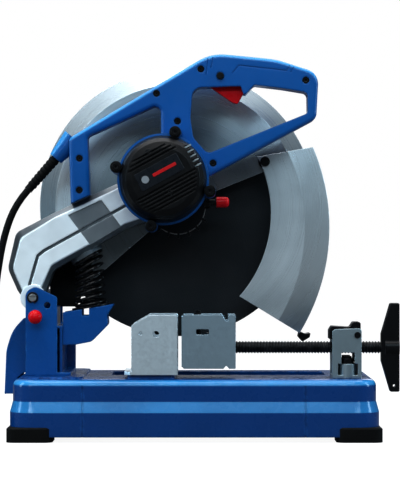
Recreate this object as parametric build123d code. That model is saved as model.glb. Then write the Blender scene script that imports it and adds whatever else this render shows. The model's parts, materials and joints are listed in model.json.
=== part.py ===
from build123d import *
import math
import os

# An abrasive chop saw. Millimetres, +X to the operator, +Y away from the motor side, +Z up.
# The origin is on the bench, at the centre of the four bench bolts.

# Base
DECK_Z = 82.0  # top of the deck
SHEET = 3.0  # thickness of the pressed steel
FENCE_PAD = 5.0  # height of the raised pad under the fence
BASE_BOTTOM = 6.7
LOW_SIZE = (486.0, 244.0, 34.0)  # length, width and corner radius under the shoulder
TOP_SIZE = (478.0, 236.0, 30.0)  # the same above the shoulder
SHOULDER_LOW, SHOULDER_TOP = 38.4, 52.7
REAR_RAISE = 2.5  # how far the rear of the deck stands above the rest
REAR_END_X = -146.0
DECK_ROUND = 10.0  # radius of the deck's outer edge
WELL = (-112.0, 176.0, -13.0, 73.0)  # x and y limits of the opening under the disc
BENCH_X, BENCH_Y, BENCH_R = 215.0, 100.0, 4.5  # bench bolts, half spacings and hole radius
FOOT_TOP = 19.4

# Head
PIVOT_X, PIVOT_Z = -214.4, 187.8  # the hinge of the arm
PIN_R, PIN_END_R = 8.0, 5.0
CLIP_Y = (-73.2, 48.2)
DISC_X, DISC_Z = -23.0, 310.0  # the disc's axis
DISC_R, DISC_Y, DISC_T = 177.5, 38.0, 3.0
MODULE, PINION_TEETH, WHEEL_TEETH = 1.5, 8, 42
TILT = 28.5  # how far the motor and its cap are turned from upright
GEAR_GAP = MODULE * (PINION_TEETH + WHEEL_TEETH) / 2
MOTOR_X = DISC_X - GEAR_GAP * math.sin(math.radians(TILT))
MOTOR_Z = DISC_Z + GEAR_GAP * math.cos(math.radians(TILT))
MOTOR_R, CAP_R, LUG_R = 58.0, 53.0, 63.0  # housing, cap, and the circle of the long screws
MOTOR_NEAR, MOTOR_FAR = -118.0, -50.3
CAP_NEAR = -150.0
ARM_NEAR, ARM_FAR = -62.0, -4.0
LOCK_Y, LOCK_Z = -33.0, 315.0  # the spindle lock's button
BOX_SPLIT, BOX_FAR = -12.0, 4.7  # where the gearcase parts, and its face on the guard
HANDLE_NEAR, HANDLE_SPLIT, HANDLE_FAR = -80.0, -60.0, -40.0

# Guards
GUARD_R, GUARD_FACE_R = 188.0, 166.0
GUARD_NEAR, GUARD_FAR, GUARD_T = 5.0, 63.0, 2.0
GUARD_FROM, GUARD_TO = 22.0, 221.0  # the fixed guard's ends, degrees up from +X
FRONT_X, FRONT_Z = -92.0, 281.7  # centre of the front guard's rim
FRONT_R, FRONT_FACE_R = 275.0, 241.0
FRONT_NEAR, FRONT_FAR = -8.5, 68.0
FRONT_PIVOT_X, FRONT_PIVOT_Z = 95.2, 370.5

# Return spring, which leans with the seat's edge at its foot and with the arm at its head
SPRING_Y, SPRING_R, SPRING_WIRE, SPRING_TURNS = -30.0, 20.0, 2.0, 8
SPRING_FOOT, SPRING_HEAD = (-139.5, 178.4), (-142.5, 240.5)  # X and Z of the end turns' centres
SEAT_LEAN, ARM_LEAN = 9.2, 29.7
SEAT_BOLT_Y = (-42.0, -18.0)

# Vice
SCREW_Y, SCREW_Z, SCREW_R, PITCH = -70.0, 122.0, 8.0, 4.0
FENCE_FACE_X = -22.2
JAW_FACE_X = -17.0
SWIVEL_X = 4.0  # the jaw's swivel pin
HANDLE_WING = 58.6  # half length of the vice handle
BOSS_TOP = 101.0  # top of the bosses under the vice's bolts

# Mains cord
CORD_D = 9.5
CORD_ROUTE = [
    (-221.8, -60.0, 330.2),
    (-238.3, -60.0, 311.4),
    (-253.5, -60.0, 270.0),
    (-262.0, -60.0, 222.0),
    (-268.0, -61.0, 168.0),
    (-277.0, -63.0, 112.0),
    (-291.0, -66.0, 62.0),
    (-312.0, -71.0, 30.0),
    (-340.0, -74.0, 15.5),
]
COIL_X, COIL_Y, COIL_H = -352.0, -12.0, 19.6
COIL_OUT, COIL_IN = 68.5, 32.5  # radii of the neat coil
TAIL_ROUTE = [
    (-406.5, 21.0, 4.9),
    (-399.5, 34.0, 6.0),
    (-392.5, 46.5, 12.0),
    (-386.0, 57.5, 17.6),
    (-380.0, 68.0, 19.2),
]


def block(x0, x1, y0, y1, z0, z1):
    """A box between two corners."""
    return Pos((x0 + x1) / 2, (y0 + y1) / 2, (z0 + z1) / 2) * Box(x1 - x0, y1 - y0, z1 - z0)


def rod_x(y, z, r, x0, x1):
    return Pos((x0 + x1) / 2, y, z) * Rot(0, 90, 0) * Cylinder(r, x1 - x0)


def rod_y(x, z, r, y0, y1):
    return Pos(x, (y0 + y1) / 2, z) * Rot(90, 0, 0) * Cylinder(r, y1 - y0)


def rod_z(x, y, r, z0, z1):
    return Pos(x, y, (z0 + z1) / 2) * Cylinder(r, z1 - z0)


def hex_y(x, z, flats, y0, y1):
    """A hexagon bolt head or nut on an axis along Y."""
    return slab(Pos(x, z) * RegularPolygon(flats / math.sqrt(3), 6), y0, y1)


def hex_z(x, y, flats, z0, z1):
    return Pos(x, y, z0) * extrude(RegularPolygon(flats / math.sqrt(3), 6), z1 - z0)


def slab(face, y0, y1):
    """A face drawn in X and Z, made thick along Y."""
    return extrude(Plane.XZ.offset(-y0) * face, y1 - y0, dir=(0, 1, 0))


def outline(points, radius):
    """A closed outline with rounded corners."""
    return make_face(FilletPolyline(*points, radius=radius, close=True))


def group(solids):
    """Separate solids in one node."""
    return Compound(children=[s for piece in solids for s in Compound([piece]).solids()])


def ring_y(x, z, r_out, r_in, y0, y1):
    return rod_y(x, z, r_out, y0, y1) - rod_y(x, z, r_in, y0 - 1, y1 + 1)


def around(x, z, radius, degrees):
    """A point on a circle in the X and Z plane, degrees up from +X."""
    a = math.radians(degrees)
    return x + radius * math.cos(a), z + radius * math.sin(a)


def turned(x, z, profile, start, end):
    """A profile of radius and Y, swept about an axis along Y from start to end degrees."""
    solid = revolve(make_face(Polyline(*profile, close=True)), Axis.Y, end - start)
    return Pos(x, 0, z) * Rot(0, -end, 0) * solid


# ---------------------------------------------------------------- base


def base_layer(size, inset, z0, z1):
    length, width, radius = size
    face = RectangleRounded(length - 2 * inset, width - 2 * inset, radius - inset)
    return extrude(Plane.XY.offset(z0) * face, z1 - z0)


def base_shoulder(inset):
    faces = []
    for (length, width, radius), z in ((LOW_SIZE, SHOULDER_LOW), (TOP_SIZE, SHOULDER_TOP)):
        face = RectangleRounded(length - 2 * inset, width - 2 * inset, radius - inset)
        faces.append(Plane.XY.offset(z) * face)
    return loft(faces)


def base_pan(inset, bottom, top):
    low = base_layer(LOW_SIZE, inset, bottom, SHOULDER_LOW)
    return low + base_shoulder(inset) + base_layer(TOP_SIZE, inset, SHOULDER_TOP, top)


def base_frame():
    """The pressed steel base: rounded pan, raised rear and fence pad, well, and lugs for the bolts."""
    skin = base_pan(0, BASE_BOTTOM, DECK_Z)
    skin = fillet(skin.faces().sort_by(Axis.Z)[-1].edges(), DECK_ROUND)
    inside = base_pan(SHEET, BASE_BOTTOM - 1, DECK_Z - SHEET)
    inside = fillet(inside.faces().sort_by(Axis.Z)[-1].edges(), DECK_ROUND - SHEET)
    rear = block(-228, REAR_END_X, -107, 107, DECK_Z - 1, DECK_Z + REAR_RAISE)
    rear = fillet(rear.edges().filter_by(Axis.Z), 16)
    pad = block(-88, -26, -107, -20, DECK_Z - 1, DECK_Z + FENCE_PAD)
    frame = skin + rear + fillet(pad.edges().filter_by(Axis.Z), 6) - inside
    rind = base_pan(-1, BASE_BOTTOM - 1, DECK_Z - 9) - base_pan(0.9, BASE_BOTTOM - 2, DECK_Z - 8)
    for x in (REAR_END_X, 145.0):
        frame -= rind & block(x - 1.3, x + 1.3, -200, 200, 0, DECK_Z)
    x0, x1, y0, y1 = WELL
    lip = block(x0 - SHEET, x1 + SHEET, y0 - SHEET, y1 + SHEET, 70, DECK_Z)
    frame = frame + lip - block(x0, x1, y0, y1, 60, DECK_Z + 6)
    lugs = base_layer(LOW_SIZE, 1, BASE_BOTTOM, BASE_BOTTOM + SHEET)
    lugs -= block(-186, 186, -200, 200, 0, 20) + block(-300, 300, -66, 66, 0, 20)
    frame += lugs
    for sx in (-1, 1):
        for sy in (-1, 1):
            frame -= rod_z(sx * BENCH_X, sy * BENCH_Y, BENCH_R, 0, 20)
            frame -= rod_z(sx * 196, sy * 78, 2.7, 0, 20)
    for x, y in fence_bolt_places() + bracket_bolt_places() + vice_bolt_places():
        frame -= rod_z(x, y, 4.15, 70, 90)
    return frame


def rubber_feet():
    skin = base_pan(-0.2, BASE_BOTTOM - 0.05, DECK_Z)
    feet = []
    for sx in (-1, 1):
        for sy in (-1, 1):
            x, y = sx * 215.4, sy * 95
            foot = Pos(x, y, 0) * extrude(RectangleRounded(60.5, 60.5, 12), FOOT_TOP)
            foot = chamfer(foot.edges().group_by(Axis.Z)[-1], 2) - skin
            foot -= rod_z(sx * BENCH_X, sy * BENCH_Y, BENCH_R, -1, 20)
            foot -= rod_z(sx * 196, sy * 78, 5.6, -1, 3.4)
            foot -= rod_z(sx * 196, sy * 78, 2.7, -1, 20)
            feet.append(foot)
    return group(feet)


def foot_screws():
    screws = []
    for sx in (-1, 1):
        for sy in (-1, 1):
            x, y = sx * 196, sy * 78
            screw = rod_z(x, y, 5, 1.0, 3.3) + rod_z(x, y, 2.5, 3.3, 15)
            screws.append(screw + hex_z(x, y, 8, BASE_BOTTOM + SHEET, 14))
    return group(screws)


def ear(y0, y1, foot_x):
    """One upright of the hinge bracket, round its pivot at the top."""
    top = [(-223.8, 88), (-223.8, 196), (-211, 202.5), (-182.1, 188.5), (-182.1, 150)]
    foot = [(foot_x, 130), (foot_x, 88)]
    plate = slab(outline(top + foot, [0.5, 12, 9, 5, 6, 6, 0.5]), y0, y1)
    return plate - rod_y(PIVOT_X, PIVOT_Z, PIN_END_R + 0.1, y0 - 1, y1 + 1)


BRACKET_FLANGE = (DECK_Z + REAR_RAISE, DECK_Z + REAR_RAISE + 4)


def bracket_bolt_places():
    return [(-212.0, -50.0), (-196.0, -50.0), (-212.0, 25.0), (-196.0, 25.0)]


def hinge_bracket():
    """Two ears, the flange under them, and the folded tie that carries the spring seat."""
    z0, z1 = BRACKET_FLANGE
    body = block(-223.8, -164, -72, 47, z0, z1)
    body += ear(-72, -67, -182.0) + ear(42, 47, -164)
    body += block(-186, -182.2, -67, 42, z1, 150) + block(-186, -182.2, -67, -1, 150, 176)
    body += block(-179.5, -175.8, -60, 35, z1, 150) + block(-182.2, -175.8, -60, 35, 146.5, 150)
    body -= rod_y(-195.1, 177.5, 4.2, -80, -60)
    body -= rod_y(-210, 162.6, 4.1, -80, -60)
    for x, y in bracket_bolt_places():
        body -= rod_z(x, y, 4.15, z0 - 1, z1 + 1)
    for y in SEAT_BOLT_Y:
        body -= rod_x(y, 138, 3.05, -192, -170)
    return body


def base_bolts():
    """The bolts through the deck and through the bracket, each with its nut."""
    under = DECK_Z - SHEET
    heads = [(place, BRACKET_FLANGE[1]) for place in bracket_bolt_places()]
    heads += [(place, FENCE_FLANGE[1] + 0.3) for place in fence_bolt_places()]
    bolts = []
    for (x, y), z in heads:
        bolt = hex_z(x, y, 13, z, z + 5.5) + rod_z(x, y, 4, under - 9, z)
        bolts.append(bolt + hex_z(x, y, 13, under - 6.5, under))
    for x, y in vice_bolt_places():
        head = hex_z(x, y, 15, BOSS_TOP + 0.3, BOSS_TOP + 6.5) + rod_z(x, y, 5.5, BOSS_TOP + 6, BOSS_TOP + 10)
        bolts.append(head + rod_z(x, y, 4, under - 9, BOSS_TOP + 1) + hex_z(x, y, 13, under - 6.5, under))
    pin = rod_y(LEVER_X, LEVER_Z, 3, -98, -42) + rod_y(LEVER_X, LEVER_Z, 4.2, -98.5, -96.2)
    bolts.append(pin)
    for y in SEAT_BOLT_Y:
        bolt = rod_x(y, 138, 3, -190, -171.7) + rod_x(y, 138, 5.5, -171.7, -168.3)
        bolts.append(bolt + rod_x(y, 138, 5.5, -190, -186.1))
    return group(bolts)


def pivot_shaft():
    """The arm's pin: thick between the ears, thin through them, with a groove at each end."""
    shaft = rod_y(PIVOT_X, PIVOT_Z, PIN_R, -66.9, 41.9) + rod_y(PIVOT_X, PIVOT_Z, PIN_END_R, -76, 51)
    for y in CLIP_Y:
        shaft -= ring_y(PIVOT_X, PIVOT_Z, 9, PIN_END_R - 0.8, y - 0.7, y + 0.7)
    return shaft


def pivot_circlips():
    clips = []
    for y in CLIP_Y:
        clip = ring_y(PIVOT_X, PIVOT_Z, 7.6, PIN_END_R - 0.75, y - 0.6, y + 0.6)
        clips.append(clip - block(PIVOT_X - 2, PIVOT_X + 2, y - 2, y + 2, PIVOT_Z - 13, PIVOT_Z))
    return group(clips)


def leaning(point, lean, solid):
    """Places a solid drawn up the Z axis at a point of the spring's line, its +X side raised."""
    return Pos(point[0], SPRING_Y, point[1]) * Rot(0, -lean, 0) * solid


def spring_seat():
    """The bracket that carries the spring: two sides, a floor and a front web."""
    side = [(-175.6, 124.3), (-157.3, 124.9), (-137.5, 128.7), (-115.4, 151.3), (-116.5, 165), (-107.7, 178.7),
            (-175.6, 167.6)]
    face = outline(side, [1, 4, 8, 6, 3, 1, 1])
    seat = slab(face, -55, -51.3) + slab(face, -8.7, -5)
    seat -= block(-150, -140.6, -60, 0, 163.4, 180)
    seat += block(-174, -158, -52, -8, 124.4, 128) + block(-119.8, -116.2, -52, -8, 151.6, 163)
    seat += block(-175.6, -171.8, -55, -5, 124.3, 166)
    for y in SEAT_BOLT_Y:
        seat -= rod_x(y, 138, 3.05, -180, -170)
    return seat


def spring_cup():
    """The round plate on the seat's edges, with a spigot in the spring."""
    cup = Pos(0, 0, -3.4) * Cylinder(26, 2.4) + Pos(0, 0, 0) * Cylinder(15.5, 7)
    return leaning(SPRING_FOOT, SEAT_LEAN, chamfer(cup.edges().group_by(Axis.Z)[-1], 2))


def return_spring():
    """A squat compression spring of plain rings, which stand for its turns."""
    (x0, z0), (x1, z1) = SPRING_FOOT, SPRING_HEAD
    middle = (x0 + x1) / 2
    spring = rod_z(middle, SPRING_Y, SPRING_R + 0.8, z0 - 20, z1 + 20)
    spring -= rod_z(middle, SPRING_Y, SPRING_R - 0.8, z0 - 21, z1 + 21)
    spring -= leaning(SPRING_FOOT, SEAT_LEAN, Pos(0, 0, -30) * Box(90, 90, 60))
    spring -= leaning(SPRING_HEAD, ARM_LEAN, Pos(0, 0, 30) * Box(90, 90, 60))
    for i in range(SPRING_TURNS):
        t = i / (SPRING_TURNS - 1)
        centre = (x0 + t * (x1 - x0), z0 + t * (z1 - z0))
        spring += leaning(centre, SEAT_LEAN + t * (ARM_LEAN - SEAT_LEAN), Torus(SPRING_R, SPRING_WIRE))
    return spring


def spring_pad():
    """The arm's own seat for the top of the spring."""
    return leaning(SPRING_HEAD, ARM_LEAN, Pos(0, 0, 6.3) * Cylinder(23, 8) + Pos(0, 0, 2) * Cylinder(15.5, 7))


def spark_guard():
    """The curved steel sheet behind the disc, with a cheek at each side."""
    rear = [(-231.0, 158.5), (-246.0, 142.0), (-254.0, 116.0), (-256.5, 57.0)]
    sheet = [(x + 2.0, z - 0.6) for x, z in reversed(rear)]
    plate = slab(outline(rear + sheet, [0.4, 50, 50, 0.4, 0.4, 48, 48, 0.4]), -18, 96)
    cheek = rear + [(-239.2, 57.0), (-239.2, 79.0), (-231.0, 85.4), (-224.4, 85.4), (-224.4, 160.0)]
    cheek = outline(cheek, [2, 50, 50, 1, 1, 1, 1, 1, 2])
    plate += slab(cheek, -18, -16) + slab(cheek, 94, 96) + block(-256, -239.2, -18, 96, 57, 59.5)
    for y in (0, 78):
        plate -= rod_z(-248, y, 2.6, 50, 62)
    return plate


def fence_bolt_places():
    return [(-45.0, -30.0), around(-45.0, -30.0, 62, 250)]


FENCE_FLANGE = (DECK_Z + FENCE_PAD + 0.3, DECK_Z + FENCE_PAD + 4.8)


def fence():
    z0, z1 = FENCE_FLANGE
    body = block(-92, FENCE_FACE_X, -112, -18, z0, z1)
    body = chamfer(body.edges().filter_by(Axis.Z).sort_by(Axis.X)[:2], 8)
    side = outline([(-82.5, z1 - 1), (-82.5, 152.5), (-59.5, 165.8), (FENCE_FACE_X, 165.8), (FENCE_FACE_X, z1 - 1)],
                   [0.5, 3, 4, 3, 0.5])
    body += slab(side, -112, -107.5) + slab(side, -22.5, -18)
    body += block(FENCE_FACE_X - 5, FENCE_FACE_X, -112, -18, z1 - 1, 163)
    body -= rod_y(-70.6, 141.7, 2, -120, -100) + rod_y(-50.3, 140.8, 4, -120, -100)
    pivot, clamp = fence_bolt_places()
    body -= rod_z(*pivot, 4.05, 70, 100)
    for step in range(0, 31, 5):
        body -= rod_z(*around(*pivot, 62, 250 + step), 4.4, 70, 100)
    return body


def jaw_side(y0, y1):
    side = outline([(-14, 95), (-17, 98.5), (-17, 163), (-14, 166), (36.5, 166), (41, 158), (44.5, 158), (44.5, 166),
                    (54, 166), (54, 95), (45.5, 95), (41.5, 99.5), (38, 95)],
                   [1, 2, 2, 1, 1, 1.5, 1.5, 1, 1, 1, 0.8, 1.5, 0.8])
    return slab(side, y0, y1) - slab(Pos(10.5, 143.3) * RectangleRounded(17, 7, 2), y0 - 1, y1 + 1)


def vice_jaw():
    """The pressed steel jaw: a face, two sides and a bridge over its swivel block."""
    body = jaw_side(-101, -97.5) + jaw_side(-42.5, -39)
    body += block(JAW_FACE_X, JAW_FACE_X + 3.5, -98, -42, 97, 164.5)
    body += block(JAW_FACE_X + 1, 30, -98, -42, 150, 153.5)
    body -= rod_z(SWIVEL_X, SCREW_Y, 5.05, 140, 170)
    return body


def swivel_block():
    """The block in the jaw that the vice screw turns in."""
    body = block(-9, 17, -84, -56, 108, 136)
    body += rod_z(SWIVEL_X, SCREW_Y, 5, 135, 167) + rod_z(SWIVEL_X, SCREW_Y, 8, 153.8, 157)
    body += rod_z(SWIVEL_X, SCREW_Y, 4, 166, 171)
    body -= rod_x(SCREW_Y, SCREW_Z, 6.05, 4, 20)
    return body - rod_x(SCREW_Y, SCREW_Z, 8.2, 7, 11)


def vice_screw():
    """The spindle: a neck held in the swivel block, then thread crests one pitch apart."""
    start, end = 22.0, 246.0
    turns = int((end - start) / PITCH)
    points = [(0, start - 5)]
    points.append((SCREW_R - 1.2, start - 5))
    for i in range(turns):
        y = start + i * PITCH
        points += [(SCREW_R - 1.2, y + 0.6), (SCREW_R, y + 1.4), (SCREW_R, y + 2.4), (SCREW_R - 1.2, y + 3.2)]
    points += [(SCREW_R - 1.2, end + 4), (0, end + 4)]
    thread = revolve(make_face(Polyline(*points, close=True)), Axis.Y, 360)
    thread = Pos(0, SCREW_Y, SCREW_Z) * Rot(0, 0, -90) * thread
    neck = rod_x(SCREW_Y, SCREW_Z, 6, 5, start) + rod_x(SCREW_Y, SCREW_Z, 8, 7.3, 10.7)
    return thread + neck + rod_x(SCREW_Y, SCREW_Z, 6.0, end, 266)


def vice_handle():
    """The wing that turns the screw, deep at its hub and thin at its tips."""
    face = outline([(246.9, SCREW_Z - 18), (258.8, SCREW_Z - HANDLE_WING), (271, SCREW_Z - HANDLE_WING),
                    (271, SCREW_Z + HANDLE_WING), (258.8, SCREW_Z + HANDLE_WING), (246.9, SCREW_Z + 18)],
                   [6, 2, 2, 2, 2, 6])
    wing = slab(face, SCREW_Y - 9, SCREW_Y + 9)
    wing = fillet(wing.edges().group_by(Axis.Y)[0] + wing.edges().group_by(Axis.Y)[-1], 1.5)
    hub = rod_x(SCREW_Y, SCREW_Z, 12.5, 252, 271)
    hole = rod_y(264, SCREW_Z - HANDLE_WING + 8, 2.0, SCREW_Y - 20, SCREW_Y + 20)
    bore = rod_x(SCREW_Y, SCREW_Z, 6.02, 240, 266.2) + rod_x(SCREW_Y, SCREW_Z, SCREW_R + 0.3, 240, 250.2)
    return wing + hub - hole - bore


def vice_bolt_places():
    return [(201.5, -85.5), (201.5, -54.5)]


LEVER_X, LEVER_Z = 214.0, 139.0


def vice_bracket():
    """The folded bracket that holds the nut: two sides, notched over their bolts, and two ends."""
    z0 = DECK_Z + 0.3
    body = block(181, 219.5, -96, -44, z0, z0 + 4)
    for y in (-96, -48):
        plate = slab(outline([(181, z0), (181, 146.5), (219.5, 148), (219.5, z0)], [0.5, 5, 4, 0.5]), y, y + 4)
        plate -= rod_y(LEVER_X, LEVER_Z, 3.05, y - 1, y + 5)
        plate -= block(193, 210.5, y - 1, y + 5, BOSS_TOP, 116)
        body += plate - block(188.5, 214.5, y - 1, y + 5, z0 + 4, BOSS_TOP + 0.5)
    for x in (182.5, 215.5):
        body += block(x, x + 4, -92, -48, z0 + 4, 119) + block(x, x + 4, -92, SCREW_Y - 9, 118, 131)
        body += block(x, x + 4, SCREW_Y + 9, -48, 118, 131)
    body -= rod_x(SCREW_Y, SCREW_Z, SCREW_R + 0.35, 180, 222)
    for x, y in vice_bolt_places():
        body += rod_z(x, y, 12, z0, BOSS_TOP)
    for x, y in vice_bolt_places():
        body -= rod_z(x, y, 4.15, z0 - 1, BOSS_TOP + 1)
    return body


def quick_lever():
    """The lever whose foot is the half nut that drops on the thread."""
    side = outline([(177.5, 133.5), (195, 131.3), (197.5, 141), (206, 143.5), (209, 134.5), (218.2, 134.5),
                    (219, 147), (219, 156), (209.5, 156), (205, 149), (181, 150.5), (177.5, 145)],
                   [1, 2, 4, 1, 4, 4, 2, 3, 3, 4, 2, 2])
    lever = slab(side, -86, -54) - rod_y(LEVER_X, LEVER_Z, 3.05, -90, -50)
    lever += block(187.2, 195, -79, -61, 125, 132)
    return lever - rod_x(SCREW_Y, SCREW_Z, SCREW_R + 0.3, 170, 230)


def gearcase_outline(grow):
    rim = (Pos(MOTOR_X, MOTOR_Z) * Circle(MOTOR_R + grow)).edges()
    nose = (Pos(DISC_X, DISC_Z) * Circle(37 + grow)).edges()
    return make_hull(rim + nose)


def arm_face(inset):
    """The swing arm's outline, from its knuckle to the gearcase."""
    i = inset
    points = [(-236 + i, 197), (-249 + i, 226), (-238 + i, 274 - i), (-186, 301 - i), (-90, 345.4 - i),
              (-60, 290 + i), (-92.5, 279 + i), (-136.3, 253.3 + i), (-188.4 - 0.3 * i, 223.6 + i), (-197 - i, 200),
              (-205, 182), (-226, 182)]
    return outline(points, [8, 20, 14, 20, 1, 1, 10, 12, 14, 10, 8, 10])


def arm_casting():
    body = slab(arm_face(0), ARM_NEAR + 9, ARM_FAR)
    body += loft([Plane.XZ.offset(-ARM_NEAR) * arm_face(8), Plane.XZ.offset(-ARM_NEAR - 9) * arm_face(0)])
    groove = Polyline((-222, 196), (-208.5, 243), (-200, 250), (-93.7, 308.7), (-60, 327))
    groove = trace(groove, 4)
    body -= slab(groove, ARM_NEAR - 1, ARM_NEAR + 3)
    panel = make_face(Polyline((-168.2, 297), (-139.3, 258), (-96.8, 281), (-124, 317.5), close=True))
    body -= slab(panel, ARM_NEAR - 1, ARM_NEAR + 2)
    pocket = outline([(-222, 232), (-218, 262), (-184, 285), (-112, 318), (-98, 294), (-140, 269), (-186, 243),
                      (-200, 222)], 6)
    body -= slab(pocket, ARM_NEAR + 16, ARM_FAR + 1)
    body += rod_y(PIVOT_X, PIVOT_Z, 17, ARM_NEAR - 3, 40)
    body -= rod_y(PIVOT_X, PIVOT_Z, 10.02, ARM_NEAR - 5, 42)
    body -= slab(gearcase_outline(0.3), ARM_NEAR - 10, ARM_FAR + 10)
    for screw in range(4):
        x, z = lug_place(screw)
        body -= rod_y(x, z, 8.8, -125, MOTOR_FAR + 1)
    return body + spring_pad()


def pivot_bushes():
    bushes = []
    for y0, y1 in ((ARM_NEAR - 3, ARM_NEAR + 22), (15, 40)):
        bushes.append(ring_y(PIVOT_X, PIVOT_Z, 10, 8.05, y0, y1))
    return group(bushes)


def gear_housing():
    body = slab(gearcase_outline(0), MOTOR_FAR + 0.3, BOX_SPLIT)
    for i in range(6):
        angle = 232 + 20 * i
        x, z = around(DISC_X, DISC_Z, 39, angle)
        rib = Pos(x, -32, z) * Rot(0, -angle, 0) * Box(9, 30, 3)
        body += rib
    body += rod_x(LOCK_Y, LOCK_Z, 9, 8, 20)
    body -= rod_y(DISC_X, DISC_Z, 34.5, -28, 0) + rod_y(MOTOR_X, MOTOR_Z, 9, -29, 0)
    body -= rod_y(DISC_X, DISC_Z, 16, -47, -20) + rod_y(MOTOR_X, MOTOR_Z, 14, -60, -38)
    body -= rod_y(MOTOR_X, MOTOR_Z, 7.4, -60, 0)
    return body - rod_x(LOCK_Y, LOCK_Z, 4.05, -20, 22)


def gear_cover():
    body = slab(gearcase_outline(0), BOX_SPLIT + 0.05, BOX_FAR)
    body -= rod_y(DISC_X, DISC_Z, 18, -20, 0) + rod_y(DISC_X, DISC_Z, 10.5, -20, 10)
    return body - rod_y(MOTOR_X, MOTOR_Z, 8, -20, -8)


def bearing(x, z, r_out, r_in, y0, y1):
    """A ball bearing: two races with a recessed shield between them."""
    body = ring_y(x, z, r_out, r_in, y0, y1)
    mid_out = r_out - 0.3 * (r_out - r_in)
    mid_in = r_in + 0.3 * (r_out - r_in)
    for a, b in ((y0 - 1, y0 + 0.6), (y1 - 0.6, y1 + 1)):
        body -= ring_y(x, z, mid_out, mid_in, a, b)
    return body


def ball_bearings():
    """Two on the spindle and two on the motor's shaft."""
    return group([bearing(DISC_X, DISC_Z, 15.98, 8.02, -46.8, -38), bearing(DISC_X, DISC_Z, 17.98, 8.02, -10, 0),
                  bearing(MOTOR_X, MOTOR_Z, 13.98, 6.02, -49, -38.2),
                  bearing(MOTOR_X, MOTOR_Z, 10.98, 6.02, -144.9, -137.5)])


def lug_place(i):
    return around(MOTOR_X, MOTOR_Z, LUG_R, TILT + 47 + 90 * i)


def motor_housing():
    body = ring_y(MOTOR_X, MOTOR_Z, MOTOR_R, MOTOR_R - 4.5, MOTOR_NEAR, MOTOR_FAR)
    body += ring_y(MOTOR_X, MOTOR_Z, MOTOR_R + 2, MOTOR_R - 4.5, MOTOR_NEAR, MOTOR_NEAR + 12)
    for i in range(4):
        x, z = lug_place(i)
        body += rod_y(x, z, 8, MOTOR_NEAR, MOTOR_FAR) - rod_y(MOTOR_X, MOTOR_Z, MOTOR_R - 1, -130, -40)
        body -= rod_y(x, z, 2.6, -130, -40)
    return body


def turned_bar(x, z, length, width, y0, y1):
    """A bar in line with the motor's tilt."""
    return slab(Pos(x, z) * Rot(0, 0, TILT) * Rectangle(length, width), y0, y1)


def cap_point(u, v):
    """A point on the cap: u along the tilt, v across it."""
    a = math.radians(TILT)
    return MOTOR_X + u * math.cos(a) - v * math.sin(a), MOTOR_Z + u * math.sin(a) + v * math.cos(a)


def motor_cap():
    """The end cap, turned by the motor's tilt: grooves each side of a plain band, and air slots."""
    outside = [(0, CAP_NEAR), (40, CAP_NEAR), (48, CAP_NEAR + 3.5), (CAP_R, CAP_NEAR + 12),
               (MOTOR_R - 1, MOTOR_NEAR - 0.3)]
    inside = [(MOTOR_R - 5, MOTOR_NEAR - 0.3), (CAP_R - 4, CAP_NEAR + 14), (45, CAP_NEAR + 5), (0, CAP_NEAR + 5)]
    profile = outside + inside
    body = turned(MOTOR_X, MOTOR_Z, profile, 0, 360)
    for i in range(4):
        x, z = lug_place(i)
        boss = rod_y(x, z, 7.6, MOTOR_NEAR - 14, MOTOR_NEAR - 0.3) - rod_y(MOTOR_X, MOTOR_Z, CAP_R - 4, -160, -100)
        body += boss - rod_y(x, z, 2.6, -140, -110)
    for v in (-32.7, -28.0, -23.3, -18.6, -13.9, -9.2, 28.0, 32.7, 37.4):
        width = 2 * math.sqrt(45 ** 2 - v ** 2)
        body -= turned_bar(*cap_point(-1, v), width, 2.2, CAP_NEAR - 1, CAP_NEAR + 2.6)
    body += ring_y(MOTOR_X, MOTOR_Z, 15, 11, CAP_NEAR + 4, CAP_NEAR + 14)
    for v in (21.3, 14.5, 7.7, 0.9, -5.9):
        body -= turned_bar(*cap_point(50.5, v), 12.5, 3.9, CAP_NEAR - 1, CAP_NEAR + 19)
    for v in (39.5, -20.5):
        x, z = cap_point(0, v)
        body += rod_y(x, z, 3.6, CAP_NEAR + 0.2, CAP_NEAR + 4) - rod_y(x, z, 1.6, CAP_NEAR - 1, CAP_NEAR + 2)
    return body


def motor_screws():
    screws = []
    for i in range(4):
        x, z = lug_place(i)
        screw = rod_y(x, z, 5, MOTOR_NEAR - 18, MOTOR_NEAR - 14.1) - hex_y(x, z, 4, MOTOR_NEAR - 19, MOTOR_NEAR - 16)
        screws.append(screw + rod_y(x, z, 2.5, MOTOR_NEAR - 14.2, MOTOR_FAR - 1))
    return group(screws)


def stator():
    ring = ring_y(MOTOR_X, MOTOR_Z, 53, 30, -106, -64)
    for side in (90, 270):
        x, z = around(MOTOR_X, MOTOR_Z, 40, side)
        ring -= block(x - 16, x + 16, -110, -60, z - 3, z + 3)
    return ring


def armature_core():
    core = ring_y(MOTOR_X, MOTOR_Z, 28.5, 6.02, -104, -66)
    for i in range(12):
        x, z = around(MOTOR_X, MOTOR_Z, 28.5, 30 * i)
        core -= rod_y(x, z, 1.8, -110, -60)
    return core


def commutator():
    ring = ring_y(MOTOR_X, MOTOR_Z, 15, 6.02, -128, -112)
    for i in range(12):
        x, z = around(MOTOR_X, MOTOR_Z, 15, 30 * i)
        ring -= Pos(x, -120, z) * Rot(0, -30 * i, 0) * Box(2, 20, 0.6)
    return ring


def cooling_fan():
    hub = ring_y(MOTOR_X, MOTOR_Z, 46, 6.02, -53.4, -52)
    hub += ring_y(MOTOR_X, MOTOR_Z, 12, 6.02, -62, -52.2)
    for i in range(9):
        x, z = around(MOTOR_X, MOTOR_Z, 30, 40 * i)
        hub += Pos(x, -57.5, z) * Rot(0, -40 * i - 20, 0) * Box(28, 9, 2)
    return hub


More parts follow.
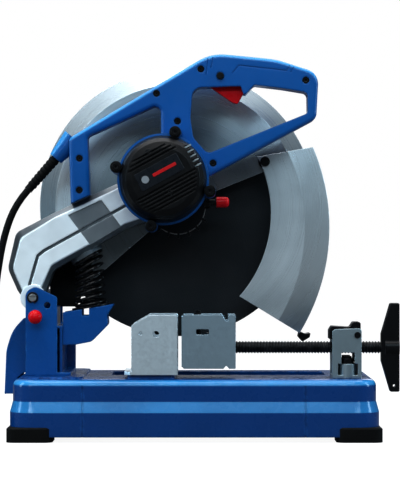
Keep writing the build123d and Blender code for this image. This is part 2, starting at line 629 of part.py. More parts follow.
def brush_holders():
    holders = []
    for side in (0, 180):
        x, z = around(MOTOR_X, MOTOR_Z, 32.5, side)
        x1 = around(MOTOR_X, MOTOR_Z, 26, side)[0]
        channel_in = block(x1 - 21, x1 + 21, -122.6, -117.4, z - 4, z + 4)
        holders.append(block(x - 13, x + 13, -125, -115, z - 7, z + 7) - channel_in)
    return group(holders)


def carbon_brushes():
    brushes = []
    for side in (0, 180):
        x, z = around(MOTOR_X, MOTOR_Z, 24.5, side)
        brushes.append(block(x - 9, x + 9, -122.5, -117.5, z - 3.9, z + 3.9))
    return group(brushes)


def gear_face(teeth, root, half_root, pitch_half, half_tip, phase):
    """A spur gear's outline with straight flanks, slightly thin for backlash."""
    pitch_r = MODULE * teeth / 2
    tip = pitch_r + MODULE * 0.9
    points = []
    for i in range(teeth):
        middle = 360 / teeth * i + phase
        for radius, half in ((root, -half_root), (pitch_r, -pitch_half), (tip, -half_tip), (tip, half_tip),
                             (pitch_r, pitch_half), (root, half_root)):
            points.append(around(0, 0, radius, middle + math.degrees(half / radius)))
    return make_face(Polyline(*points, close=True))


def driven_gear():
    face = gear_face(WHEEL_TEETH, 29.4, 1.35, 0.95, 0.45, 90 + TILT)
    gear = slab(Pos(DISC_X, DISC_Z) * face, -26, -16)
    gear -= ring_y(DISC_X, DISC_Z, 25, 13, -27, -24) + ring_y(DISC_X, DISC_Z, 25, 13, -18, -15)
    return gear - rod_y(DISC_X, DISC_Z, 9.01, -30, -10)


def armature_shaft():
    face = gear_face(PINION_TEETH, 4.2, 1.0, 0.95, 0.5, 270 + TILT + 180 / PINION_TEETH)
    shaft = slab(Pos(MOTOR_X, MOTOR_Z) * face, -27.5, -14.5)
    shaft += rod_y(MOTOR_X, MOTOR_Z, 6, -145, -34) + rod_y(MOTOR_X, MOTOR_Z, 4.5, -34.5, -10)
    return shaft


def spindle():
    shaft = rod_y(DISC_X, DISC_Z, 8, -46.5, 37) + rod_y(DISC_X, DISC_Z, 9, -27, -12)
    shaft += rod_y(DISC_X, DISC_Z, 10, 4, 24)
    return shaft + rod_y(DISC_X, DISC_Z, 12.6, 36.45, 39.9) - rod_y(DISC_X, DISC_Z, 5.02, 20, 42)


def inner_flange():
    return ring_y(DISC_X, DISC_Z, 38, 8.02, 25, 36.4) - ring_y(DISC_X, DISC_Z, 31, 14, 35, 38)


def outer_flange():
    return ring_y(DISC_X, DISC_Z, 38, 5.3, 40.1, 47) - ring_y(DISC_X, DISC_Z, 31, 14, 39, 41.2)


def cutting_disc():
    return ring_y(DISC_X, DISC_Z, DISC_R, 12.7, DISC_Y - DISC_T / 2, DISC_Y + DISC_T / 2)


def arbor_bolt():
    bolt = hex_y(DISC_X, DISC_Z, 17, 49.2, 56) + rod_y(DISC_X, DISC_Z, 5, 21, 49.4)
    return bolt + rod_y(DISC_X, DISC_Z, 13, 47.1, 49.3)


def fixed_guard():
    t = GUARD_T
    profile = [(30, GUARD_NEAR), (GUARD_FACE_R, GUARD_NEAR), (GUARD_R, GUARD_NEAR + 10), (GUARD_R, GUARD_FAR - 6),
               (GUARD_R - 20, GUARD_FAR), (70, GUARD_FAR), (70, GUARD_FAR - t), (GUARD_R - 20.4, GUARD_FAR - t),
               (GUARD_R - t, GUARD_FAR - 7.5), (GUARD_R - t, GUARD_NEAR + 11.3), (GUARD_FACE_R - 0.5, GUARD_NEAR + t),
               (30, GUARD_NEAR + t)]
    body = turned(DISC_X, DISC_Z, profile, GUARD_FROM, GUARD_TO)
    body -= rod_y(FRONT_PIVOT_X, FRONT_PIVOT_Z, 4.05, 0, 70)
    for x, z in guard_bolt_places():
        body -= rod_y(x, z, 3.05, 0, 12)
    return body


def guard_bolt_places():
    return [around(MOTOR_X, MOTOR_Z, 40, angle) for angle in (40, 110, 180)]


def guard_bolts():
    bolts = []
    for x, z in guard_bolt_places():
        bolts.append(hex_y(x, z, 10, 7.1, 11) + rod_y(x, z, 3, BOX_FAR + 0.1, 7.2))
    return group(bolts)


def side_cover():
    """The cover over the arbor bolt, on the far side of the guard."""
    profile = [(0, 64), (76, 64), (82, 63.3), (84, 63.3), (84, 65), (76, 65.8), (0, 65.8)]
    return turned(DISC_X, DISC_Z, profile, 0, 360)


def spark_flap():
    """The rubber flap at the rear end of the fixed guard."""
    face = outline([(-197, 205), (-201, 222), (-188, 238), (-150, 256), (-137, 222), (-150, 196), (-160, 174),
                    (-186, 174), (-196, 192)], [2, 6, 8, 8, 8, 10, 4, 4, 3])
    flap = slab(face, 2.4, GUARD_NEAR - 0.1)
    for x, z in ((-152, 240), (-147, 222)):
        flap += rod_y(x, z, 4, 0.8, 2.6)
    return flap


def channel(start, end, near, far):
    """A length of the front guard: its near wall, its far wall, or both with the rim between."""
    t = GUARD_T
    near_wall = [(165, FRONT_NEAR), (FRONT_FACE_R, FRONT_NEAR), (FRONT_R, FRONT_NEAR + 10)]
    near_back = [(FRONT_R - t, FRONT_NEAR + 11.4), (FRONT_FACE_R - 0.4, FRONT_NEAR + t), (165, FRONT_NEAR + t)]
    far_wall = [(FRONT_R, FRONT_FAR - 8), (FRONT_R - 13, FRONT_FAR), (185, FRONT_FAR)]
    far_back = [(185, FRONT_FAR - t), (FRONT_R - 13.6, FRONT_FAR - t), (FRONT_R - t, FRONT_FAR - 9.2)]
    if near and far:
        profile = near_wall + far_wall + far_back + near_back
    elif near:
        profile = near_wall + [(FRONT_R, FRONT_NEAR + 12)] + near_back
    else:
        profile = [(FRONT_R, FRONT_FAR - 10)] + far_wall + far_back
    return turned(FRONT_X, FRONT_Z, profile, start, end)


def front_guard():
    """The guard that lifts off the work: it straddles the disc and hangs on the fixed guard."""
    body = channel(-31.5, 8, True, True) + channel(8, 34, True, False) + channel(8, 34, False, True)
    body -= rod_y(-66.9, 300.8, 170, -20, 80)
    top = Pos(127, 30, 385.5 + 60) * Rot(0, -10.2, 0) * Box(320, 120, 120)
    body -= top
    body -= rod_y(FRONT_PIVOT_X, FRONT_PIVOT_Z, 5.05, -20, 80)
    return body


def guard_pivot_bolts():
    x, z = FRONT_PIVOT_X, FRONT_PIVOT_Z
    near = rod_y(x, z, 6.5, FRONT_NEAR - 3, FRONT_NEAR - 0.3) + rod_y(x, z, 5, FRONT_NEAR - 1, FRONT_NEAR + 2.4)
    near += rod_y(x, z, 9, FRONT_NEAR + 2.3, GUARD_NEAR - 0.05) + rod_y(x, z, 4, GUARD_NEAR - 1, GUARD_NEAR + 8)
    near += hex_y(x, z, 11, GUARD_NEAR + 2.1, GUARD_NEAR + 7)
    far = rod_y(x, z, 8.5, FRONT_FAR + 0.3, FRONT_FAR + 4) + rod_y(x, z, 5, FRONT_FAR - 2.4, FRONT_FAR + 1)
    far += rod_y(x, z, 9, GUARD_FAR + 0.05, FRONT_FAR - 2.3) + rod_y(x, z, 4, GUARD_FAR - 8, GUARD_FAR + 1)
    far += hex_y(x, z, 11, GUARD_FAR - 7, GUARD_FAR - 2.1)
    return group([near, far])


def guard_tab():
    """The finger tab under the front guard's rim."""
    face = outline([(143.2, 139.5), (151, 136), (158.5, 137.5), (157, 131.5), (147, 125.5), (141.5, 132)],
                   [1, 2, 1, 2, 2, 1])
    return slab(face, 20, 56)


# ---------------------------------------------------------------- handle


def handle_outline():
    points = [(-163.2, 296), (-166.5, 398.4), (22, 511.5), (108, 503), (164.2, 485), (161, 424.4), (16, 346.3),
              (-44.5, 346), (-44.7, 444.7), (-141.5, 400.5), (-136.6, 296)]
    return outline(points, [6, 9, 62, 110, 20, 12, 14, 12, 8, 6, 6])


def under_post():
    """What lies under the sloping top of the arm, where the handle's rear post stands."""
    return Polyline((-190, 299.8), (-110, 336.8), (-110, 290), (-190, 290), close=True)


def finger_opening():
    points = [(17, 378), (149.8, 431.6), (149.5, 459), (116, 464.6), (79, 469), (68, 457), (64.5, 457), (61, 467.5),
              (-2.5, 465.5), (-5.5, 425), (-1.5, 399)]
    return outline(points, [9, 6, 7, 40, 5, 1, 1, 2, 13, 40, 12])


HANDLE_LINES = [
    [(18.0, 507.5), (15.0, 482.0)],
    [(25.0, 508.5), (21.5, 491.0)],
    [(134.0, 497.5), (127.0, 486.0)],
    [(128.5, 499.0), (121.8, 488.0)],
    [(49.5, 484.0), (58.5, 495.0), (121.8, 488.0)],
]


def handle_shell(y0, y1, rounded):
    shell = slab(handle_outline(), y0, y1)
    edge = shell.edges().group_by(Axis.Y)[0 if rounded < 0 else -1]
    outer = HANDLE_NEAR if rounded < 0 else HANDLE_FAR
    shell = fillet(edge, 5) - slab(finger_opening(), -90, -30)
    shell -= slab(make_face(under_post()), -90, -30)
    shell -= rod_y(MOTOR_X, MOTOR_Z, MOTOR_R + 0.3, -130, -30)
    for i in range(4):
        shell -= rod_y(*lug_place(i), 8.4, -130, -30)
    inner = outline([(18, 474), (18, 492), (60, 500), (112, 496), (112, 474), (76, 475)], 3)
    shell -= slab(inner, -74, -46)
    shell -= slab(trigger_sweep(), -67.5, -52.5)
    for line in HANDLE_LINES:
        shell -= slab(trace(Polyline(*line), 1.1), outer - 0.8, outer + 0.8)
    rail = trace(Polyline((-150, 380), (-148, 400), (-20, 478), (20, 484)), 10)
    shell -= slab(rail, -66, -54)
    for x, z in handle_screw_places():
        shell -= rod_y(x, z, 2.2, -85, -42)
        shell -= rod_y(x, z, 4.6, -85, -75.5)
    shell -= rod_y(TRIGGER_X, TRIGGER_Z, 2.05, -69.2, -50.8)
    return shell - rod_y(33.9, 481, 4.9, -90, -60) - on_cord_path(Pos(0, 0, -30) * Cylinder(6.6, 70))


def handle_screw_places():
    return [(-152.1, 372.0), (-152.3, 330.0), (-50.3, 457.7), (-22.5, 421.0), (8.4, 490.0), (147.0, 475.2),
            (24.5, 365.5)]


def handle_screws():
    screws = []
    for x, z in handle_screw_places():
        head = rod_y(x, z, 4.3, -79, -75.7) - hex_y(x, z, 3.2, -80, -77)
        screws.append(head + rod_y(x, z, 2.1, -75.8, -44))
    return group(screws)


TRIGGER_X, TRIGGER_Z = 22.5, 471.5


def trigger_face():
    return outline([(19, 468), (50, 446.5), (57, 444.5), (61.5, 452), (68, 465), (70, 478), (30, 478), (19, 475.5)],
                   [1.5, 3, 2.5, 3, 3, 1, 3, 3])


def trigger_sweep():
    """Room for the trigger over its whole travel."""
    return outline([(16.5, 462), (60, 450), (72.5, 463), (73.5, 488), (24, 488), (16.5, 478)], 2)


def trigger():
    return slab(trigger_face(), -66.5, -53.5) + rod_y(TRIGGER_X, TRIGGER_Z, 2, -69, -51)


def switch_module():
    return block(78, 108, -72, -48, 478, 494) + block(74.5, 78.5, -62, -58, 484, 488)


def lock_button():
    return rod_y(33.9, 481, 4.6, -83, -71) + rod_y(33.9, 481, 2, -71.5, -69)


CORD_OUT = (-184.0, 373.2)
CORD_TILT = 48.7  # the nozzle points this far below level, to the rear


def on_cord_path(solid):
    """Places a solid drawn up the Z axis along the cord's way out, its origin at the mouth."""
    return Pos(CORD_OUT[0], HANDLE_SPLIT, CORD_OUT[1]) * Rot(0, 270 - CORD_TILT, 0) * solid


def cord_nozzle():
    """The blue snout that the strain relief sits in."""
    body = on_cord_path(Pos(0, 0, -17) * Cone(15, 9.6, 36))
    body -= on_cord_path(Pos(0, 0, -17) * Cylinder(6.6, 50))
    return body - slab(handle_outline(), -90, -30)


def strain_relief():
    """The tapered rubber sleeve, ringed along its length."""
    profile = [(CORD_D / 2 + 0.05, -30), (6.4, -30), (6.4, 0)]
    for i in range(8):
        z = 3 + 6 * i
        r = 6.9 - 0.1 * i
        profile += [(r - 0.7, z), (r, z + 1), (r, z + 4), (r - 0.7, z + 5)]
    profile += [(5.5, 57), (CORD_D / 2 + 0.05, 57)]
    sleeve = revolve(Plane.XZ * make_face(Polyline(*profile, close=True)), Axis.Z, 360)
    return on_cord_path(sleeve)


def cord_corners(route):
    """The radius of each bend of a cord, as large as its two runs allow."""
    points = [Vector(*p) for p in route]
    radii = []
    for a, b, c in zip(points, points[1:], points[2:]):
        turn = math.radians((b - a).get_angle(c - b))
        radii.append(0.45 * min((b - a).length, (c - b).length) / math.tan(turn / 2))
    return radii


def cord_tube(route):
    path = FilletPolyline(*route, radius=cord_corners(route))
    section = Plane(origin=path @ 0, z_dir=path % 0) * Circle(CORD_D / 2)
    tube = sweep(section, path)
    expected = math.pi * CORD_D ** 2 / 4 * path.length
    print("cord bend radii", [round(r) for r in cord_corners(route)])
    print("cord length", round(path.length), "volume ratio", round(tube.volume / expected, 4))
    return tube


def cord_coil():
    return rod_z(COIL_X, COIL_Y, COIL_OUT, 0, COIL_H) - rod_z(COIL_X, COIL_Y, COIL_IN, -1, COIL_H + 1)


def mains_plug():
    """A moulded two pin plug with side contacts, lying where the cord ends."""
    x, y, z = TAIL_ROUTE[-1]
    body = rod_y(0, 0, 7, 1.2, 18) + rod_y(0, 0, 14, 17, 30) + rod_y(0, 0, 19, 29, 43)
    for side in (-1, 1):
        body += rod_y(side * 9.5, 0, 2.4, 42, 61)
    return Pos(x, y, z) * Rot(0, 0, -30) * body


def transport_lock():
    """The red ball and the pin that it pulls."""
    x, z = -210.0, 162.6
    ball = Pos(x, -88, z) * Sphere(9.3)
    return ball + rod_y(x, z, 5, -80, -75) + rod_y(x, z, 4, -88, -66.5)


def spindle_lock():
    """The red button whose pin holds the spindle for a disc change."""
    button = rod_x(LOCK_Y, LOCK_Z, 7.2, 28.5, 46.4)
    button = fillet(button.edges().filter_by(GeomType.CIRCLE).sort_by(Axis.X)[-1], 5)
    return button + rod_x(LOCK_Y, LOCK_Z, 4, -6, 29)


PARTS = {
    "base_frame": base_frame,
    "rubber_feet": rubber_feet,
    "foot_screws": foot_screws,
    "hinge_bracket": hinge_bracket,
    "base_bolts": base_bolts,
    "pivot_shaft": pivot_shaft,
    "pivot_circlips": pivot_circlips,
    "spring_seat": spring_seat,
    "spring_cup": spring_cup,
    "return_spring": return_spring,
    "spark_guard": spark_guard,
    "fence": fence,
    "vice_jaw": vice_jaw,
    "swivel_block": swivel_block,
    "vice_screw": vice_screw,
    "vice_handle": vice_handle,
    "vice_bracket": vice_bracket,
    "quick_lever": quick_lever,
    "transport_lock": transport_lock,
    "arm_casting": arm_casting,
    "pivot_bushes": pivot_bushes,
    "gear_housing": gear_housing,
    "gear_cover": gear_cover,
    "ball_bearings": ball_bearings,
    "motor_housing": motor_housing,
    "motor_cap": motor_cap,
    "motor_screws": motor_screws,
    "stator": stator,
    "brush_holders": brush_holders,
    "carbon_brushes": carbon_brushes,
    "armature_shaft": armature_shaft,
    "armature_core": armature_core,
    "commutator": commutator,
    "cooling_fan": cooling_fan,
    "spindle": spindle,
    "driven_gear": driven_gear,
    "inner_flange": inner_flange,
    "outer_flange": outer_flange,
    "cutting_disc": cutting_disc,
    "arbor_bolt": arbor_bolt,
    "fixed_guard": fixed_guard,
    "guard_bolts": guard_bolts,
    "side_cover": side_cover,
    "spark_flap": spark_flap,
    "front_guard": front_guard,
    "guard_pivot_bolts": guard_pivot_bolts,
    "guard_tab": guard_tab,
    "handle_near_shell": lambda: handle_shell(HANDLE_NEAR, HANDLE_SPLIT - 0.05, -1),
    "handle_far_shell": lambda: handle_shell(HANDLE_SPLIT + 0.05, HANDLE_FAR, 1),
    "handle_screws": handle_screws,
    "trigger": trigger,
    "switch_module": switch_module,
    "cord_nozzle": cord_nozzle,
    "strain_relief": strain_relief,
    "power_cord": lambda: cord_tube(CORD_ROUTE),
    "cord_coil": cord_coil,
    "cord_tail": lambda: cord_tube(TAIL_ROUTE),
    "mains_plug": mains_plug,
    "lock_button": lock_button,
    "spindle_lock": spindle_lock,
}

os.makedirs("parts", exist_ok=True)
for name, make in PARTS.items():
    export_step(make(), f"parts/{name}.step")
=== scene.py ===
"""Looks of an abrasive chop saw around its CAD frame. Metres, +X to the operator, +Z up."""

import json
import math

import bpy
from mathutils import Matrix, Vector


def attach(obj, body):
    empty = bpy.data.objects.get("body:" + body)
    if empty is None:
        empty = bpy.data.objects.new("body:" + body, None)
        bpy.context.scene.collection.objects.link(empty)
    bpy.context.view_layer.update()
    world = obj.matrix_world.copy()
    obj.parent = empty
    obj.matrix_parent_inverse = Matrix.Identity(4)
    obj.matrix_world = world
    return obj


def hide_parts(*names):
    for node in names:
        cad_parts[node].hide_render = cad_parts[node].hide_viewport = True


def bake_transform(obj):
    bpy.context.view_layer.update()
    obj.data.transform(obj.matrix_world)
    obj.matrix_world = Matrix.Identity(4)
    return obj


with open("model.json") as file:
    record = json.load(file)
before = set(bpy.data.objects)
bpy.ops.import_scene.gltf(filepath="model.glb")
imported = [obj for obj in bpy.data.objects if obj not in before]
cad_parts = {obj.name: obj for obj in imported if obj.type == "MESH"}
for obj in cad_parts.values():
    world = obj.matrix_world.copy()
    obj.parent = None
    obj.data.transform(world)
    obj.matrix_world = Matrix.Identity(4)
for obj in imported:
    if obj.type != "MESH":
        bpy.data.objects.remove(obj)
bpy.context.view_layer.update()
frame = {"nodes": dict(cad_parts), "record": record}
scene = bpy.context.scene

DISC_AXIS = (-0.023, 0.310)  # X and Z of the disc's axis
MOTOR_AXIS = (-0.04089, 0.34296)
TILT = math.radians(28.5)  # how far the motor's cap is turned
CORD_R = 0.00475
GUARD_R = 0.165  # where the fixed guard's side bends into its rim
LOCK_BUTTON_X = 0.0292  # where the spindle lock's stem meets its button
ARM_NEAR_Y = -0.062  # the arm's near face
CAP_NEAR_Y = -0.150  # the motor cap's near face
FLOOR_Z = -0.0005
SHARP = 0.0002  # half the width of a change of colour that looks sharp

CAMERA_PLACE = (0.0072, -2.962, 0.2508)
LENS = 157.1
SENSOR_WIDTH = 36.0
DISPLAY_GAMMA = 0.8


# ---------------------------------------------------------------- camera, light and floor


def make_camera():
    data = bpy.data.cameras.new("camera")
    data.sensor_width = SENSOR_WIDTH
    data.lens = LENS
    camera = bpy.data.objects.new("camera", data)
    camera.location = CAMERA_PLACE
    camera.rotation_euler = (math.radians(90), 0, 0)
    scene.collection.objects.link(camera)
    scene.camera = camera


def area_light(name, place, target, size, power, color=(1, 1, 1), gloss=1.0):
    data = bpy.data.lights.new(name, "AREA")
    data.shape = "RECTANGLE"
    data.size, data.size_y = size
    data.energy = power
    data.specular_factor = gloss
    data.color = color
    light = bpy.data.objects.new(name, data)
    light.location = place
    light.rotation_euler = (Vector(target) - Vector(place)).to_track_quat("-Z", "Y").to_euler()
    scene.collection.objects.link(light)


def make_world():
    """A soft room: bright above, dark at the sides and below, and white where the camera sees it."""
    world = bpy.data.worlds.new("studio")
    world.use_nodes = True
    tree = world.node_tree
    background = tree.nodes["Background"]
    coords = tree.nodes.new("ShaderNodeTexCoord")
    split = tree.nodes.new("ShaderNodeSeparateXYZ")
    ramp = tree.nodes.new("ShaderNodeValToRGB")
    ramp.color_ramp.elements[0].position = 0.52
    ramp.color_ramp.elements[0].color = (0.05, 0.06, 0.07, 1)
    ramp.color_ramp.elements[1].position = 0.9
    ramp.color_ramp.elements[1].color = (0.8, 0.83, 0.86, 1)
    rays = tree.nodes.new("ShaderNodeLightPath")
    mix = tree.nodes.new("ShaderNodeMix")
    mix.data_type = "RGBA"
    mix.inputs["B"].default_value = (1, 1, 1, 1)
    half = tree.nodes.new("ShaderNodeMapRange")
    half.inputs["From Min"].default_value = -1.0
    tree.links.new(coords.outputs["Generated"], split.inputs[0])
    tree.links.new(split.outputs["Z"], half.inputs["Value"])
    tree.links.new(half.outputs["Result"], ramp.inputs["Fac"])
    tree.links.new(ramp.outputs["Color"], mix.inputs["A"])
    tree.links.new(rays.outputs["Is Camera Ray"], mix.inputs["Factor"])
    tree.links.new(mix.outputs["Result"], background.inputs["Color"])
    scene.world = world


def make_stage():
    """The lights, and a floor that is white to the camera and dark to the object."""
    scene.view_settings.view_transform = "Standard"
    scene.view_settings.gamma = DISPLAY_GAMMA
    make_world()
    area_light("key", (-0.3, -1.0, 2.2), (0, 0, 0.25), (1.8, 0.7), 24, (1.0, 0.99, 0.97))
    area_light("strip", (0.0, -2.3, 1.38), (0, 0, 0.1), (3.0, 0.26), 28, (0.66, 0.87, 1.0))
    area_light("front", (-1.3, -2.3, 0.9), (0, 0, 0.3), (0.5, 0.9), 5)
    area_light("top", (0.0, 0.2, 1.6), (0, 0, 0.2), (2.0, 0.8), 20, gloss=0.3)
    area_light("left", (-1.5, -0.3, 0.7), (0, 0, 0.25), (0.3, 1.2), 11, (0.6, 0.85, 1.0))
    area_light("right", (1.5, -0.3, 0.8), (0, 0, 0.25), (0.3, 1.2), 12, (0.6, 0.85, 1.0))
    area_light("rear", (0.3, 1.8, 1.2), (0, 0, 0.3), (1.6, 1.2), 14, gloss=0.25)
    bpy.ops.mesh.primitive_plane_add(size=60, location=(0, 0, FLOOR_Z))
    floor = bpy.context.object
    floor.name = "floor"
    look = Look("floor", (0.10, 0.102, 0.105), 0.9, Specular_IOR_Level=0.1,
                Emission_Color=(1, 1, 1, 1))
    rays = look.add("ShaderNodeLightPath")
    glow = look.ranged(rays.outputs["Is Camera Ray"], 0, 1, 0.05, 0.92)
    look.link(glow, look.shader.inputs["Emission Strength"])
    floor.data.materials.append(look.material)


# ---------------------------------------------------------------- materials


BLUE = (0.001, 0.050, 0.200)
HANDLE_BLUE = (0.002, 0.092, 0.310)
BRACKET_BLUE = (0.003, 0.085, 0.300)
# Painted highlight: the light blue laid on slopes and rounded edges that look upward.
UPPER_HIGHLIGHT_BLUE = (0.030, 0.300, 0.620)
# Painted highlight: light blues laid in patches on the edges of the blue coats.
EDGE_HIGHLIGHT_BLUE = (0.02, 0.20, 0.62)
BRACKET_EDGE_HIGHLIGHT_BLUE = (0.05, 0.28, 0.66)
RED = (0.60, 0.003, 0.010)
# Near black: the lock stem's own blackened steel, and painted shade inside the fence's holes.
NEAR_BLACK = (0.006, 0.007, 0.008)
FENCE_HOLES = ((-0.0706, 0.1417, 0.0021), (-0.0503, 0.1408, 0.0041))  # X, Z and radius


class Look:
    """A material being made: its Principled shader, and short calls for the nodes that feed it."""

    def __init__(self, name, color, rough, **sockets):
        self.material = bpy.data.materials.new(name)
        self.material.use_nodes = True
        self.tree = self.material.node_tree
        self.shader = self.tree.nodes["Principled BSDF"]
        self.color = color
        self.rough = rough
        self.shader.inputs["Base Color"].default_value = (*color, 1)
        self.shader.inputs["Roughness"].default_value = rough
        for socket, value in sockets.items():
            self.shader.inputs[socket.replace("_", " ")].default_value = value
        self.coords = self.add("ShaderNodeTexCoord").outputs["Object"]
        self.normal = None

    def add(self, kind, **inputs):
        node = self.tree.nodes.new(kind)
        for name, value in inputs.items():
            node.inputs[name.replace("_", " ")].default_value = value
        return node

    def link(self, out, into):
        self.tree.links.new(out, into)

    def stretched(self, scale):
        """The object's coordinates, stretched, so that a noise turns into brush marks."""
        mapping = self.add("ShaderNodeMapping", Scale=scale)
        self.link(self.coords, mapping.inputs["Vector"])
        return mapping.outputs["Vector"]

    def noise(self, scale, detail=3.0, coords=None):
        node = self.add("ShaderNodeTexNoise", Scale=scale, Detail=detail)
        self.link(coords or self.coords, node.inputs["Vector"])
        return node.outputs["Fac"]

    def ranged(self, value, low, high, new_low, new_high):
        node = self.add("ShaderNodeMapRange")
        node.inputs["From Min"].default_value = low
        node.inputs["From Max"].default_value = high
        node.inputs["To Min"].default_value = new_low
        node.inputs["To Max"].default_value = new_high
        self.link(value, node.inputs["Value"])
        return node.outputs["Result"]

    def maths(self, operation, a, b):
        node = self.add("ShaderNodeMath")
        node.operation = operation
        for value, socket in ((a, node.inputs[0]), (b, node.inputs[1])):
            if isinstance(value, (int, float)):
                socket.default_value = value
            else:
                self.link(value, socket)
        return node.outputs[0]

    def tint(self, fac, color):
        """Mixes a colour over what the base colour is so far."""
        node = self.add("ShaderNodeMix")
        node.data_type = "RGBA"
        node.inputs["B"].default_value = (*color, 1)
        base = self.shader.inputs["Base Color"]
        if base.is_linked:
            self.link(base.links[0].from_socket, node.inputs["A"])
        else:
            node.inputs["A"].default_value = base.default_value
        self.link(fac, node.inputs["Factor"])
        self.link(node.outputs["Result"], base)

    def roughen(self, value, low, high):
        self.link(self.ranged(value, 0.3, 0.7, low, high), self.shader.inputs["Roughness"])

    def bump(self, height, strength, distance=0.0002):
        node = self.add("ShaderNodeBump", Strength=strength, Distance=distance)
        self.link(height, node.inputs["Height"])
        if self.normal is not None:
            self.link(self.normal, node.inputs["Normal"])
        self.normal = node.outputs["Normal"]
        self.link(self.normal, self.shader.inputs["Normal"])

    def soft_edges(self, radius=0.0008):
        """Rounds the corners that the light sees, and returns how near an edge each point is."""
        bevel = self.add("ShaderNodeBevel", Radius=radius)
        bevel.samples = 4
        geometry = self.add("ShaderNodeNewGeometry")
        dot = self.add("ShaderNodeVectorMath")
        dot.operation = "DOT_PRODUCT"
        self.link(bevel.outputs["Normal"], dot.inputs[0])
        self.link(geometry.outputs["Normal"], dot.inputs[1])
        self.normal = bevel.outputs["Normal"]
        self.link(self.normal, self.shader.inputs["Normal"])
        return self.ranged(dot.outputs["Value"], 0.99, 0.8, 0.0, 1.0)

    def paint_highlight_on_upper_slopes(self, color, strength):
        """Painted highlight: lightens slopes and rounded edges that look upward, as light from above
        would.
        """
        split = self.add("ShaderNodeSeparateXYZ")
        self.link(self.add("ShaderNodeTexCoord").outputs["Normal"], split.inputs[0])
        rise = self.ranged(split.outputs["Z"], 0.10, 0.34, 0.0, strength)
        fall = self.ranged(split.outputs["Z"], 0.72, 0.97, 1.0, 0.0)
        self.tint(self.maths("MULTIPLY", rise, fall), color)

    def coordinate(self, letter):
        """The object's own X, Y or Z."""
        split = self.add("ShaderNodeSeparateXYZ")
        self.link(self.coords, split.inputs[0])
        return split.outputs[letter]

    def radius(self, axis):
        """Distance from an axis along Y."""
        x = self.maths("SUBTRACT", self.coordinate("X"), axis[0])
        z = self.maths("SUBTRACT", self.coordinate("Z"), axis[1])
        squares = self.maths("ADD", self.maths("MULTIPLY", x, x), self.maths("MULTIPLY", z, z))
        return self.maths("SQRT", squares, 0)

    def rings(self, axis, per_metre):
        """Noise in rings round an axis along Y, as turning or brushing leaves it."""
        noise = self.add("ShaderNodeTexNoise", Scale=1.0, Detail=4.0)
        noise.noise_dimensions = "1D"
        self.link(self.maths("MULTIPLY", self.radius(axis), per_metre), noise.inputs["W"])
        return noise.outputs["Fac"]


def lighter(color, factor):
    return tuple(min(1.0, c * factor) for c in color)


def paint(name, color, rough, edge_wear_and_highlight, coat=0.3, round_edge=0.0008, upper_highlight=None):
    """Powder coat: a slight orange peel, cloudy gloss, edges lighter in patches (partly rubbed wear,
    partly painted highlight), and painted highlight on upward slopes.
    """
    look = Look(name, color, rough, Coat_Weight=coat, Coat_Roughness=0.1, Specular_IOR_Level=0.14)
    edge = look.soft_edges(round_edge)
    # Painted highlight on upward slopes, when a colour for it is given.
    if upper_highlight:
        look.paint_highlight_on_upper_slopes(upper_highlight, 0.85)
    clouds = look.noise(14.0)
    look.tint(look.ranged(clouds, 0.35, 0.75, 0.0, 0.35), lighter(color, 0.72))
    # Edges lighter in patches: partly rubbed wear, partly painted highlight; the light blues given for
    # the blue coats are painted highlight.
    edge_patches = look.maths("MULTIPLY", edge, look.ranged(look.noise(90.0), 0.42, 0.62, 0.0, 0.75))
    look.tint(edge_patches, edge_wear_and_highlight)
    specks = look.ranged(look.noise(900.0, 1.0), 0.76, 0.84, 0.0, 0.25)
    look.tint(specks, lighter(color, 0.55))
    look.roughen(look.noise(60.0), rough * 0.85, rough * 1.25)
    look.bump(look.noise(420.0, 1.0), 0.05)
    return look.material


def plastic(name, color, rough, grain=1400.0, depth=0.25, edge=0.0008, coat=0.0, upper_highlight=None):
    """Moulded plastic with a fine spark-eroded grain, and a painted highlight on upward slopes when a
    colour for it is given.
    """
    look = Look(name, color, rough, Specular_IOR_Level=0.2, Coat_Weight=coat, Coat_Roughness=0.16)
    look.soft_edges(edge)
    # Painted highlight on upward slopes, when a colour for it is given.
    if upper_highlight:
        look.paint_highlight_on_upper_slopes(upper_highlight, 0.8)
    look.tint(look.ranged(look.noise(22.0), 0.4, 0.7, 0.0, 0.3), lighter(color, 0.78))
    look.roughen(look.noise(120.0), rough * 0.85, rough * 1.2)
    look.bump(look.noise(grain, 2.0), depth)
    return look.material


def metal(name, color, rough, stretch, streak=0.3):
    """Bare metal with brush or machining marks along one direction."""
    look = Look(name, color, rough, Metallic=1.0)
    look.soft_edges()
    marks = look.noise(1.0, 4.0, look.stretched(stretch))
    look.tint(look.ranged(marks, 0.3, 0.7, 0.0, streak), lighter(color, 0.62))
    look.tint(look.ranged(look.noise(9.0), 0.45, 0.75, 0.0, 0.3), lighter(color, 0.8))
    look.roughen(marks, rough * 0.8, rough * 1.3)
    look.bump(marks, 0.12, 0.0001)
    return look.material


def sheet(name, color, rough, holes=()):
    """Zinc plated sheet: satin, with a faint spangle, and painted shade inside its holes."""
    look = Look(name, color, rough, Metallic=1.0)
    look.soft_edges(0.0012)
    look.tint(look.ranged(look.noise(26.0), 0.4, 0.75, 0.0, 0.22), lighter(color, 0.72))
    look.tint(look.ranged(look.noise(500.0, 1.0), 0.6, 0.75, 0.0, 0.15), lighter(color, 0.7))
    # Painted shade: near black inside each listed hole.
    for x, z, radius in holes:
        inside = look.ranged(look.radius((x, z)), radius + SHARP / 2, radius - SHARP / 2, 0.0, 1.0)
        look.tint(inside, NEAR_BLACK)
    look.roughen(look.noise(300.0), rough * 0.94, rough * 1.08)
    look.bump(look.noise(700.0, 1.0), 0.03, 0.0001)
    return look.material


def rubber(name, color=(0.0035, 0.0038, 0.0042), rough=0.62):
    look = Look(name, color, rough, Specular_IOR_Level=0.12)
    look.tint(look.ranged(look.noise(40.0), 0.5, 0.75, 0.0, 0.5), (0.008, 0.008, 0.0085))
    look.roughen(look.noise(180.0), rough * 0.85, rough * 1.15)
    look.bump(look.noise(900.0, 2.0), 0.3)
    return look.material


